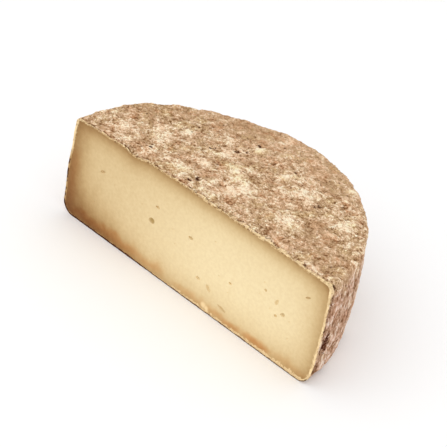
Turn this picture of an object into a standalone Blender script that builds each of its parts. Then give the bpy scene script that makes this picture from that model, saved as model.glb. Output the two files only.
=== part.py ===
"""Half a wheel of aged goat tomme, standing on its flat base with the cut face in front.

The half wheel is a turned profile: a low crown on top, a tight top edge, a side that bellies
out low down and a rounder base edge. The turned skin is then made as uneven as a hand-made
cheese, its front is closed by the flat cut face, and the eyes are cut into that face.

Frame: metres, +Z up from the base, X along the cut, the cut face looks along -Y, and the
origin is under the middle of the half wheel's box.
"""

import math

import bmesh
import bpy
from mathutils import Vector, noise

# The wheel that the half was cut from
WHEEL_RADIUS = 0.100
WHEEL_HEIGHT = 0.0685
TOP_CROWN = 0.0017
TOP_EDGE_RADIUS = 0.003
BASE_EDGE_RADIUS = 0.008
BELLY_HEIGHT = 0.0225
SIDE_LEAN = 0.0016

# How far the wheel is out of round: waves in a turn, size and where the first crest is
OUTLINE_WAVES = (
    (2, 0.0025, math.radians(90)),
    (3, 0.0004, math.radians(35)),
    (4, 0.0007, math.radians(61)),
    (5, 0.0011, math.radians(9)),
)

# The rind's unevenness: broad swells and smaller lumps, their length and their rise
SWELL_LENGTH = 0.030
SWELL_RISE = 0.0009
LUMP_LENGTH = 0.011
LUMP_RISE = 0.0006
LUMP_SHIFT = Vector((7.3, 1.9, 4.1))

# A shallow thumb mark in the top edge, over the left half of the cut
DENT_PLACE = Vector((-0.047, 0.0, WHEEL_HEIGHT))
DENT_REACH = 0.013
DENT_DEPTH = 0.0019

# The eyes in the paste: distance along the cut, height, half width, half height, tilt
EYES = (
    (-0.0682, 0.0433, 0.0022, 0.0009, -28),
    (-0.0264, 0.0338, 0.0023, 0.0019, 0),
    (-0.0238, 0.0447, 0.0016, 0.0008, 0),
    (0.0030, 0.0399, 0.0018, 0.0010, 2),
    (0.0134, 0.0186, 0.0015, 0.0010, 5),
    (0.0215, 0.0166, 0.0026, 0.0012, 53),
    (0.0332, 0.0099, 0.0035, 0.0010, 14),
    (0.0351, 0.0290, 0.0011, 0.0008, 0),
    (0.0581, 0.0397, 0.0011, 0.0008, 0),
    (0.0665, 0.0373, 0.0021, 0.0010, 104),
    (0.0718, 0.0322, 0.0017, 0.0011, -35),
    (0.0677, 0.0289, 0.0011, 0.0008, -15),
    (0.0839, 0.0520, 0.0017, 0.0007, -30),
)
EYE_DEPTH = 0.0013

# How finely the skin is divided
TURN_STEPS = 80
TOP_RINGS = 23
EDGE_STEPS = 3
SIDE_RINGS = 15
BASE_RINGS = 3
EYE_SUBDIVISIONS = 2
SAME_POINT = 0.00001
SHARP_ANGLE = math.radians(45)

RIND_COLOUR = (0.52, 0.33, 0.19, 1.0)
PASTE_COLOUR = (0.82, 0.68, 0.42, 1.0)
RIND_ROUGHNESS = 0.9
PASTE_ROUGHNESS = 0.5


def clear_scene():
    """Removes every object of the scene."""
    for obj in list(bpy.data.objects):
        bpy.data.objects.remove(obj)


def new_collection(name):
    """A collection linked to the scene."""
    collection = bpy.data.collections.new(name)
    bpy.context.scene.collection.children.link(collection)
    return collection


def new_material(name, colour, roughness):
    """A plain Principled material."""
    material = bpy.data.materials.new(name)
    material.use_nodes = True
    shader = material.node_tree.nodes["Principled BSDF"]
    shader.inputs["Base Color"].default_value = colour
    shader.inputs["Roughness"].default_value = roughness
    shader.inputs["Metallic"].default_value = 0.0
    return material


def side_radius(z):
    """The wheel's radius at a height: widest at the belly, leaning in above and below it."""
    return WHEEL_RADIUS - SIDE_LEAN * ((z - BELLY_HEIGHT) / (WHEEL_HEIGHT / 2)) ** 2


def profile():
    """The turned profile in the XZ plane, from the top's middle out and down to the base's."""
    rim_z = WHEEL_HEIGHT - TOP_CROWN - TOP_EDGE_RADIUS
    rim_x = side_radius(rim_z) - TOP_EDGE_RADIUS
    foot_x = side_radius(BASE_EDGE_RADIUS) - BASE_EDGE_RADIUS
    points = []
    for i in range(TOP_RINGS + 1):
        share = i / TOP_RINGS
        points.append((rim_x * share, WHEEL_HEIGHT - TOP_CROWN * share**2))
    for i in range(1, EDGE_STEPS + 1):
        turn = math.pi / 2 * i / EDGE_STEPS
        points.append(
            (
                rim_x + TOP_EDGE_RADIUS * math.sin(turn),
                rim_z + TOP_EDGE_RADIUS * math.cos(turn),
            )
        )
    for i in range(1, SIDE_RINGS + 1):
        z = rim_z + (BASE_EDGE_RADIUS - rim_z) * i / SIDE_RINGS
        points.append((side_radius(z), z))
    for i in range(1, EDGE_STEPS + 1):
        turn = math.pi / 2 * i / EDGE_STEPS
        points.append(
            (
                foot_x + BASE_EDGE_RADIUS * math.cos(turn),
                BASE_EDGE_RADIUS - BASE_EDGE_RADIUS * math.sin(turn),
            )
        )
    for i in range(1, BASE_RINGS + 1):
        points.append((foot_x * (1 - i / BASE_RINGS), 0.0))
    return points


def turned_skin(name, points, collection):
    """The profile turned through half a circle about Z, as an object with a plain mesh."""
    mesh = bpy.data.meshes.new(name)
    edges = [(i, i + 1) for i in range(len(points) - 1)]
    mesh.from_pydata([(x, 0.0, z) for x, z in points], edges, [])
    obj = bpy.data.objects.new(name, mesh)
    collection.objects.link(obj)
    screw = obj.modifiers.new("half_turn", "SCREW")
    screw.axis = "Z"
    screw.angle = math.pi
    screw.steps = TURN_STEPS
    screw.render_steps = TURN_STEPS
    screw.use_merge_vertices = True
    screw.merge_threshold = SAME_POINT
    graph = bpy.context.evaluated_depsgraph_get()
    turned = bpy.data.meshes.new_from_object(obj.evaluated_get(graph))
    obj.modifiers.clear()
    obj.data = turned
    bpy.data.meshes.remove(mesh)
    return obj


def out_of_round(angle):
    """The share by which the wheel's radius grows or shrinks in a direction."""
    waves = (
        size * math.cos(count * (angle - crest)) for count, size, crest in OUTLINE_WAVES
    )
    return 1 + sum(waves) / WHEEL_RADIUS


def rind_rise(point):
    """How far the rind stands out of the turned shape at a point."""
    swell = noise.noise(point / SWELL_LENGTH)
    lump = noise.noise(point / LUMP_LENGTH + LUMP_SHIFT)
    return SWELL_RISE * swell + LUMP_RISE * lump


def smooth_step(share):
    """A smooth rise from 0 to 1."""
    share = min(1.0, max(0.0, share))
    return share * share * (3 - 2 * share)


def dent_drop(point):
    """How far the thumb mark lowers the top at a point."""
    distance = math.hypot(point.x - DENT_PLACE.x, point.y - DENT_PLACE.y)
    near_top = smooth_step(point.z / WHEEL_HEIGHT * 2 - 1)
    return DENT_DEPTH * (1 - smooth_step(distance / DENT_REACH)) * near_top


def make_uneven(mesh):
    """Moves the turned skin's points. The base stays flat and the cut's edge stays in its plane."""
    normals = [vertex.normal.copy() for vertex in mesh.vertices]
    for vertex, normal in zip(mesh.vertices, normals):
        point = vertex.co.copy()
        if abs(point.y) < SAME_POINT:
            normal.y = 0.0
            normal.normalize()
        point.xy = point.xy * out_of_round(math.atan2(point.y, point.x))
        rise = rind_rise(point) * smooth_step(point.z / BASE_EDGE_RADIUS)
        point += normal * rise
        point.z -= dent_drop(point)
        vertex.co = point


def close_cut_face(obj, paste_slot):
    """Fills the open front with the flat cut face."""
    body = bmesh.new()
    body.from_mesh(obj.data)
    bmesh.ops.remove_doubles(body, verts=body.verts, dist=SAME_POINT)
    rim = [edge for edge in body.edges if edge.is_boundary]
    made = bmesh.ops.edgeloop_fill(body, edges=rim)
    for face in made["faces"]:
        face.material_index = paste_slot
    bmesh.ops.recalc_face_normals(body, faces=body.faces)
    bmesh.ops.triangulate(body, faces=body.faces)
    body.to_mesh(obj.data)
    body.free()


def centre_on_footprint(mesh):
    """Puts the middle of the half wheel's box over the origin, and returns the move."""
    xs = [vertex.co.x for vertex in mesh.vertices]
    ys = [vertex.co.y for vertex in mesh.vertices]
    shift = Vector((-(min(xs) + max(xs)) / 2, -(min(ys) + max(ys)) / 2, 0.0))
    for vertex in mesh.vertices:
        vertex.co += shift
    return shift


def cut_eyes(obj, shift, collection):
    """Cuts the eyes into the cut face with flattened balls."""
    for number, (along, height, half_width, half_height, tilt) in enumerate(EYES, 1):
        place = Vector((along, 0.0, height)) + shift
        bpy.ops.mesh.primitive_ico_sphere_add(subdivisions=EYE_SUBDIVISIONS, radius=1.0, location=place)
        cutter = bpy.context.object
        cutter.name = f"eye_cutter_{number:02d}"
        cutter.scale = (half_width, EYE_DEPTH, half_height)
        cutter.rotation_euler.y = math.radians(tilt)
        cutter.hide_render = True
        cutter.display_type = "WIRE"
        for owner in list(cutter.users_collection):
            owner.objects.unlink(cutter)
        collection.objects.link(cutter)
    cut = obj.modifiers.new("eyes", "BOOLEAN")
    cut.operation = "DIFFERENCE"
    cut.operand_type = "COLLECTION"
    cut.collection = collection
    cut.solver = "EXACT"


def main():
    clear_scene()
    cheese = new_collection("goat_tomme")
    cutters = new_collection("eye_cutters")
    half = turned_skin("half_wheel", profile(), cheese)
    half.data.materials.append(new_material("rind", RIND_COLOUR, RIND_ROUGHNESS))
    half.data.materials.append(new_material("paste", PASTE_COLOUR, PASTE_ROUGHNESS))
    make_uneven(half.data)
    close_cut_face(half, paste_slot=1)
    shift = centre_on_footprint(half.data)
    half.data.shade_smooth()
    half.data.set_sharp_from_angle(angle=SHARP_ANGLE)
    cut_eyes(half, shift, cutters)


main()
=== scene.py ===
"""Half a wheel of aged goat tomme: the rind, the cut paste and the stage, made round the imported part.

The rind is a skin turned in even cells, made as uneven as the solid that it stands for and then
given its crust of lumps, mould and pits. Flakes of mould are scattered over it. The paste is
the wheel inside the rind. One block with a fine face trims both at the cut, and the eyes are cut
into the paste.

The shape is made in the wheel's own frame, with the wheel's axis on Z and the cut on Y = 0, and
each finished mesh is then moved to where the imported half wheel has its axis.
"""

import math
from functools import partial, reduce

import bmesh
import bpy
import numpy as np
from bpy.props import FloatProperty, FloatVectorProperty, IntProperty, PointerProperty
from mathutils import Matrix, Vector, kdtree, noise


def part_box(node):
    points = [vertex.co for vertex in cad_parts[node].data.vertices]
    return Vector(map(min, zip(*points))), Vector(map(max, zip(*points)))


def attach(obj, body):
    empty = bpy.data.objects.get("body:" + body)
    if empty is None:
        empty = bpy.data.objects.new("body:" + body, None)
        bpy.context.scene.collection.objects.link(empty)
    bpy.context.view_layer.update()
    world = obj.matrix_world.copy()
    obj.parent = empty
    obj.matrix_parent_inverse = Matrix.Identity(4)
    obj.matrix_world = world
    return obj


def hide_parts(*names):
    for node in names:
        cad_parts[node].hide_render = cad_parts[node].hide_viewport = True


bl_info = {
    "name": "Goat Tomme",
    "version": (1, 0, 0),
    "blender": (4, 5, 0),
    "location": "View3D > Sidebar > Goat Tomme",
    "description": "Builds the rind, the cut paste and the stage of half a goat tomme",
    "category": "Object",
}

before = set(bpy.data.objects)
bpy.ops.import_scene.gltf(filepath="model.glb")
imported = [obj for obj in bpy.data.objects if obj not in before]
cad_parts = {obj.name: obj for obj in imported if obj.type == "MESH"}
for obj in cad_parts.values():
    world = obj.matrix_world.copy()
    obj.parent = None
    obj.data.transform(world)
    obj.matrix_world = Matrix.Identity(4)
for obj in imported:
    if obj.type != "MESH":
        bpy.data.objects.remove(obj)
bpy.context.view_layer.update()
NODE = "half_wheel"
BODY = "root"

# The wheel that the half was cut from, as in the part's source
WHEEL_RADIUS = 0.100
WHEEL_HEIGHT = 0.0685
TOP_CROWN = 0.0017
TOP_EDGE_RADIUS = 0.003
BASE_EDGE_RADIUS = 0.008
BELLY_HEIGHT = 0.0225
SIDE_LEAN = 0.0016
OUTLINE_WAVES = (
    (2, 0.0025, math.radians(90)),
    (3, 0.0004, math.radians(35)),
    (4, 0.0007, math.radians(61)),
    (5, 0.0011, math.radians(9)),
)
SWELL_LENGTH = 0.030
SWELL_RISE = 0.0009
LUMP_LENGTH = 0.011
LUMP_RISE = 0.0006
LUMP_SHIFT = Vector((7.3, 1.9, 4.1))
DENT_PLACE = Vector((-0.047, 0.0, WHEEL_HEIGHT))
DENT_REACH = 0.013
DENT_DEPTH = 0.0019

# How much painted shade the paler eyes get, and how far an eye's painted shade reaches
PALE_EYE = 0.08
DARK_EYE_REACH = 0.004
# The eyes in the paste: distance along the cut, height, half width, half height, tilt, painted shade
EYES = (
    (-0.0682, 0.0433, 0.0022, 0.0009, -28, PALE_EYE),
    (-0.0264, 0.0338, 0.0023, 0.0019, 0, 1.0),
    (-0.0238, 0.0447, 0.0016, 0.0008, 0, PALE_EYE),
    (0.0030, 0.0399, 0.0018, 0.0010, 2, 0.32),
    (0.0134, 0.0186, 0.0015, 0.0010, 5, PALE_EYE),
    (0.0215, 0.0166, 0.0026, 0.0012, 53, PALE_EYE),
    (0.0332, 0.0099, 0.0035, 0.0010, 14, 0.22),
    (0.0351, 0.0290, 0.0011, 0.0008, 0, PALE_EYE),
    (0.0581, 0.0397, 0.0011, 0.0008, 0, PALE_EYE),
    (0.0665, 0.0373, 0.0021, 0.0010, 104, PALE_EYE),
    (0.0718, 0.0322, 0.0017, 0.0011, -35, 0.32),
    (0.0677, 0.0289, 0.0011, 0.0008, -15, PALE_EYE),
    (0.0839, 0.0520, 0.0017, 0.0007, -30, 0.15),
)
# Pinholes in the paste: distance along the cut, height
PINHOLES = (
    (-0.0530, 0.0526),
    (-0.0575, 0.0400),
    (-0.0717, 0.0203),
    (-0.0353, 0.0399),
    (-0.0070, 0.0297),
    (-0.0107, 0.0376),
    (0.0201, 0.0480),
    (0.0267, 0.0290),
    (0.0563, 0.0441),
    (0.0552, 0.0356),
    (0.0770, 0.0308),
    (0.0784, 0.0201),
    (0.0348, 0.0223),
    (0.0633, 0.0307),
)
PINHOLE_SIZE = 0.0006
PINHOLE_DEPTH = 0.0004
EYE_DEPTH = 0.0013
EYE_SUBDIVISIONS = 3
EYE_UNEVENNESS = 0.22
EYE_LUMPS = 1.1
# How far behind the paste's face the painted shade on an eye's wall begins, and where it is full
EYE_WALL = (0.00015, 0.00085)
# Where the eyes end behind the cut
EYES_END = 0.003

# Where the paste beside the base is orange: distance along the cut, reach, height, strength
ORANGE_PLACES = (
    (-0.060, 0.034, 0.0053, 0.25),
    (-0.022, 0.010, 0.0050, 0.18),
    (0.010, 0.014, 0.0038, 0.13),
    (0.030, 0.008, 0.0038, 0.18),
    (0.041, 0.008, 0.0034, 0.26),
    (0.060, 0.010, 0.0042, 0.34),
    (0.083, 0.012, 0.0050, 0.10),
)
# How orange the paste is beside the left rind: strength, distance from the rind, reach
LEFT_ORANGE = (0.16, 0.0045, 0.0040)
# The heights where that orange begins and where it is full
LEFT_ORANGE_TOP = (0.050, 0.038)
# The width and the height of the waves in the bands of ripe paste and in the orange
BAND_WAVE = (0.010, 0.022)
ORANGE_WAVE = (0.0035, 0.006)

# The bands of ripe paste inside the rind, each with its strength and its reach
TOP_BAND = (0.87, 0.0047)
RIGHT_BAND = (0.62, 0.0070)
LEFT_BAND = (0.80, 0.0098)
FOOT_BAND = (0.48, 0.0075)
# What the band above the base gains in strength and reach at its left end, and in strength at
# its right end
FOOT_BAND_LEFT = (1.60, 0.0078)
FOOT_BAND_RIGHT = 0.14
# How far the ripe tint darkens the whole cut at its right end, and what that gains at its left end, so
# that the cut grows darker towards the left
BROAD_DARKENING = 0.035
BROAD_DARKENING_LEFT = 0.185
# How much less ripe the lower part of the cut is
LOW_PALENESS = 0.055
# Where along the cut or up it each of these changes begins, and where it is complete
FOOT_LEFT = (-0.020, -0.090)
FOOT_RIGHT = (0.0550, 0.0802)
BROAD_LEFT = (0.035, -0.075)
LOW_ON_CUT = (0.048, 0.018)
# The measure of ripeness that the paste comes close to but never passes
RIPEST = 1.45
# How little the bands of ripe paste add up where they meet: 1 would be a plain sum
CORNER_POWER = 1.2

# The fold of cream rind in the cut's lower edge: distance along the cut, height, reach
FOLD = (
    (0.0207, 0.0042, 0.0019),
    (0.0232, 0.0034, 0.0015),
    (0.0238, 0.0018, 0.0013),
)

# Where the mould has bloomed pale on the top, and where it has worn off to brown: X, Y, reach
PALE_PLACES = (
    (0.0145, 0.029, 0.0085),
    (0.001, 0.032, 0.0045),
    (0.008, 0.018, 0.0060),
    (-0.004, 0.037, 0.0050),
    (-0.020, 0.026, 0.0060),
    (-0.016, 0.045, 0.0050),
    (-0.027, 0.060, 0.0055),
    (-0.010, 0.067, 0.0050),
    (-0.025, 0.014, 0.0060),
    (-0.045, 0.013, 0.0045),
    (-0.057, 0.029, 0.0090),
    (-0.047, 0.045, 0.0045),
    (-0.072, 0.016, 0.0062),
    (-0.061, 0.008, 0.0042),
    (0.018, 0.058, 0.0050),
    (0.026, 0.047, 0.0045),
    (0.036, 0.055, 0.0068),
    (0.047, 0.025, 0.0062),
    (0.068, 0.047, 0.0062),
    (0.048, 0.083, 0.0055),
    (0.037, 0.081, 0.0050),
    (-0.008, 0.090, 0.0060),
)
BROWN_PLACES = (
    (-0.071, 0.035, 0.0090),
    (-0.058, 0.017, 0.0050),
    (-0.083, 0.039, 0.0070),
    (-0.034, 0.027, 0.0050),
    (-0.023, 0.020, 0.0045),
    (-0.042, 0.074, 0.0120),
    (-0.024, 0.084, 0.0130),
    (-0.005, 0.052, 0.0065),
    (0.022, 0.034, 0.0050),
    (0.026, 0.019, 0.0070),
    (0.038, 0.073, 0.0100),
    (0.057, 0.036, 0.0060),
    (0.060, 0.029, 0.0070),
    (0.067, 0.031, 0.0080),
    (-0.067, 0.058, 0.0120),
    (-0.076, 0.004, 0.0050),
    (0.080, 0.015, 0.0120),
)
# Pits in the top, painted dark with shade in their hollows: X, Y, reach
TOP_PITS = (
    (-0.0287, 0.0678, 0.0011),
    (-0.0175, 0.0546, 0.0017),
    (-0.0132, 0.0588, 0.0012),
    (-0.0150, 0.0580, 0.0009),
    (-0.0276, 0.0434, 0.0011),
    (-0.0264, 0.0450, 0.0010),
    (-0.0136, 0.0712, 0.0014),
    (0.0175, 0.0668, 0.0010),
    (-0.0471, 0.0138, 0.0011),
    (-0.0486, 0.0168, 0.0010),
    (-0.0641, 0.0382, 0.0011),
    (-0.0712, 0.0431, 0.0011),
    (-0.0477, 0.0550, 0.0010),
    (0.0467, 0.0517, 0.0014),
    (0.0453, 0.0487, 0.0011),
    (-0.0093, 0.0125, 0.0013),
    (-0.0111, 0.0072, 0.0011),
)
# The top's pits, the one at the corner and the side's crevice by the cut, painted with shade: centre,
# reach
DARK_PITS = (
    *((x, y, WHEEL_HEIGHT, reach) for x, y, reach in TOP_PITS),
    (0.0950, 0.0030, WHEEL_HEIGHT - 0.0030, 0.0010),
    (0.0975, 0.0062, 0.0308, 0.0018),
    (0.0980, 0.0066, 0.0262, 0.0029),
    (0.0980, 0.0058, 0.0222, 0.0017),
    (0.0985, 0.0040, 0.0350, 0.0010),
)
# How much less a pit's height counts than its width
PIT_SQUASH = (1.0, 1.0, 0.6)
# The largest distance from a pit that is looked up, as a share of the pit's reach
FAR_FROM_PITS = 9.0
# The heights where the marks on the top begin and are full, and the same for the side's look
BLOOM_NONE = WHEEL_HEIGHT - 0.0100
BLOOM_FULL = WHEEL_HEIGHT - 0.0040
SIDE_NONE = WHEEL_HEIGHT - 0.0025
SIDE_FULL = WHEEL_HEIGHT - 0.0105

# How finely the pieces are divided
CORE_CELLS = 34
CORE_ROWS = 26
SPARE_ROWS = 2
PROFILE_STEP = 0.0004
LEAST_EDGE_STEPS = 3
SAME_POINT = 0.00001
SHARP_ANGLE = math.radians(50)
# In how many directions, and at which shares of its height, the wheel's reach is measured
AXIS_TURNS = 80
AXIS_HEIGHTS = tuple(i / 40 for i in range(5, 36))

# The crust: its coarsest lumps, and how deep each finer step is, which is half as long
CRUST_LENGTH = 0.0060
CRUST_ROUGHNESS = 1.0
CRUST_TWIST = 0.3
# What the height is multiplied by where the side's lumps are looked up: it draws them out upwards
CRUST_STRETCH = 0.42
# How far the crust's highest lumps lie inside the solid
CRUST_INSET = 0.00002
# How close to the cut the crust's points are that give its outline there
CRUST_SLICE = 0.0005
# The sizes of the grains in the crust's colour, and how much each counts
CRUST_GRAINS = ((0.0021, 0.30), (0.0012, 0.34), (0.0007, 0.34))
# How far a granule's edge wanders, as a share of its size
GRANULE_WANDER = 2.2
# The sizes of a granule of mould, of a crumb at the cut and of a patch in the side's colour
MOULD_GRANULE = 0.0011
CRUMB = 0.0010
SIDE_PATCH = 0.013
# How far apart the places are where a small dark speck can lie
SPECK_SPACING = 0.0042

# The lip that the knife left along the cut, and the broken groove behind it, which is also painted
# darker as shade
LIP_LEFT = 0.0008
LIP_RIGHT = 0.0020
LIP_WANDER_LENGTH = 0.0045
LIP_GAP_LENGTH = 0.0050
LIP_FRAY_LENGTH = 0.0016
LIP_FRAY = 0.0020
# Half the width over which one colour or form passes into another
SOFT_EDGE = 0.0002
GROOVE_PLACE = 0.0008
GROOVE_WIDTH = 0.0012
GROOVE_DEPTH = 0.0007
GROOVE_GAP_LENGTH = 0.0060

# Flakes of mould on the crust
FLAKES_PER_AREA = 900000.0
FLAKE_SEED = 11
FLAKE_THICKNESS = 0.3
FLAKE_BEND_LENGTH = 0.0007
# How deep the flakes' middles lie in the crust
FLAKE_SINK = 0.00018

# The rind gets thicker away from the cut, so that the crust's pits stay in it
HIDDEN_RIND = 0.0013
HIDDEN_RIND_START = 0.0015
HIDDEN_RIND_END = 0.0050
RIND_WAVE_LENGTH = 0.0060
RIND_WAVE = 0.0004

# The block that trims the rind and the paste at the cut
BLOCK_WIDTH = 0.206
BLOCK_BOTTOM = -0.003
BLOCK_TOP = 0.073
BLOCK_DEPTH = 0.012
# How far behind the solid's cut face the highest spots of the cut lie
CUT_INSET = 0.00008
# How much deeper than the rind's highest spots the paste is cut
PASTE_INSET = 0.00016
# How ragged the cut is at the rind
RIM_REACH = 0.0022
RIM_ROUGHNESS = 0.0004
RIM_LUMP = 0.0034
# The waves of the knife's drag and the grain of the cut
DRAG_WAVE = (0.018, 0.060)
DRAG_DEPTH = 0.00006
CUT_GRAIN = (0.0023, 0.0023)
CUT_GRAIN_DEPTH = 0.00002

# Where each of these begins and where it is complete: along the cut, behind it and above the base
ALONG_CUT = (-0.060, 0.060)
RIGHT_STRETCH = (0.030, 0.075)
AT_RIGHT = (0.088, 0.094)
AT_LEFT = (-0.086, -0.092)
FULL_SIDE = (0.0030, 0.0010)
AT_CUT = (0.0017, 0.0009)
OFF_CUT = (0.0010, 0.0030)
FAR_BACK = (0.060, 0.085)
AT_BASE = (0.0060, 0.0030)
OFF_BASE = (0.006, 0.014)
HIGH_ON_CUT = (0.034, 0.050)
ON_TOP = (0.058, 0.062)

# How the pieces and the floor scatter light
RIND_ROUGHNESS = 0.9
RIND_SHINE = 0.03
PASTE_ROUGHNESS = 0.52
PASTE_SHINE = 0.15
FLOOR_ROUGHNESS = 0.9
FLOOR_COLOUR = (0.98, 0.98, 0.98, 1.0)
FLOOR_REACH = 3.0

# The soft light all round, and the lamp
WORLD_STRENGTH = 0.95
KEY_PLACE = Vector((-0.15, -1.0, 1.35))
KEY_AIM = Vector((0.0, 0.0, 0.03))
KEY_SIZE = 2.0
KEY_POWER = 6.5

# The camera, from the outline of the photographed half wheel: how it is turned, and how far back,
# right and up it stands from the middle of the cut, along its own axes
CAMERA_AZIMUTH = math.radians(34.89)
CAMERA_ELEVATION = math.radians(34.41)
CAMERA_ROLL = math.radians(12.46)
CAMERA_DISTANCE = 0.6506
CAMERA_RIGHT = 0.02137
CAMERA_UP = 0.01117
CAMERA_LENS = 94.7
CAMERA_SENSOR = 36.0
CAMERA_CLIP = 0.01


def colour(red, green, blue):
    """A colour given as it looks on a screen, 0 to 255, in Blender's linear light."""
    shares = (value / 255 for value in (red, green, blue))
    return tuple(s / 12.92 if s <= 0.04045 else ((s + 0.055) / 1.055) ** 2.4 for s in shares)


def size_property(name, description, default, smallest=0.0):
    """A property for a size in metres."""
    return FloatProperty(
        name=name,
        description=description,
        default=default,
        min=smallest,
        unit="LENGTH",
    )


def count_property(name, description, default, smallest):
    """A property for a count."""
    return IntProperty(name=name, description=description, default=default, min=smallest)


def colour_property(name, description, default):
    """A property for a colour."""
    return FloatVectorProperty(
        name=name,
        description=description,
        default=default,
        min=0.0,
        max=1.0,
        subtype="COLOR",
    )


class TommeShape(bpy.types.PropertyGroup):
    """Sizes of the rind, the crust and the cut."""

    rind_top: size_property(
        "Rind on Top", "Thickness of the rind on the top, as the cut shows it", 0.0013, 0.0005
    )
    rind_side: size_property("Rind on Side", "Thickness of the rind on the side", 0.0015, 0.0005)
    rind_base: size_property("Rind on Base", "Thickness of the rind under the wheel", 0.0014, 0.0005)
    skin_cells: count_property(
        "Skin Cells", "Cells of the rind's skin from the wheel's middle to its edge", 136, 20
    )
    skin_rows: count_property("Skin Rows", "Rows of cells up the side of the rind", 72, 15)
    crust_depth: size_property(
        "Crust Depth", "Depth of the crust from the tops of its lumps to its lowest places", 0.0011
    )
    pit_depth: size_property("Pit Depth", "Depth of the dark pits in the crust", 0.0011)
    flake_smallest: size_property("Smallest Flake", "Radius of the smallest flakes of mould", 0.00030)
    flake_largest: size_property("Largest Flake", "Radius of the largest flakes of mould", 0.00095)
    cut_cell: size_property("Cut Cell", "Size of the cells of the cut face", 0.0005, 0.0003)


class TommeColours(bpy.types.PropertyGroup):
    """Colours of the paste and the rind."""

    paste: colour_property("Paste", "The paste in the middle of the cut", colour(241, 221, 177))
    ripe_tint: colour_property(
        "Ripe Tint",
        "What one measure of ripeness multiplies the paste's colour by",
        (0.368, 0.244, 0.138),
    )
    orange_tint: colour_property(
        "Orange Tint",
        "What one measure of orange multiplies the paste's colour by",
        (0.61, 0.20, 0.066),
    )
    rind_cut_brown: colour_property(
        "Brown Cut Rind", "The cut rind on the top and at the left", colour(186, 150, 102)
    )
    rind_cut: colour_property("Cut Rind", "The cut rind elsewhere", colour(252, 224, 174))
    # The eyes' colour is painted shade in their hollows, tinted olive
    eye: colour_property("Eyes", "The inside of the eyes", colour(170, 138, 74))
    # Dark rind: the colour of the specks and of the cut rind's outer edge, also used as painted shade
    # in the pits and crevices
    dark_rind_and_shade: colour_property("Rind in Pits", "The rind in pits and crevices", colour(80, 44, 26))
    rind_deep: colour_property(
        "Deepest Rind", "The rind in the deepest places of the crust", colour(128, 90, 58)
    )
    rind_low: colour_property(
        "Low Rind", "The rind in the low places of the crust", colour(172, 136, 98)
    )
    rind_middle: colour_property(
        "Rind", "The rind between low and high places", colour(205, 170, 134)
    )
    rind_pale: colour_property("Pale Rind", "The rind under thin mould", colour(240, 209, 176))
    rind_high: colour_property(
        "Mould", "The thick mould on the high places of the crust", colour(255, 242, 213)
    )
    # The side's tint is partly the side rind's pinker, greyer tone and partly painted shade on the
    # side, which faces away from the light
    side_tone_and_shade: colour_property(
        "Side Tint", "What the side's colours are multiplied by", (0.865, 0.815, 0.915)
    )


def opaque(value):
    """A colour with its alpha, or a link as it is."""
    return value if isinstance(value, bpy.types.NodeSocket) else (*value, 1.0)


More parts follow.
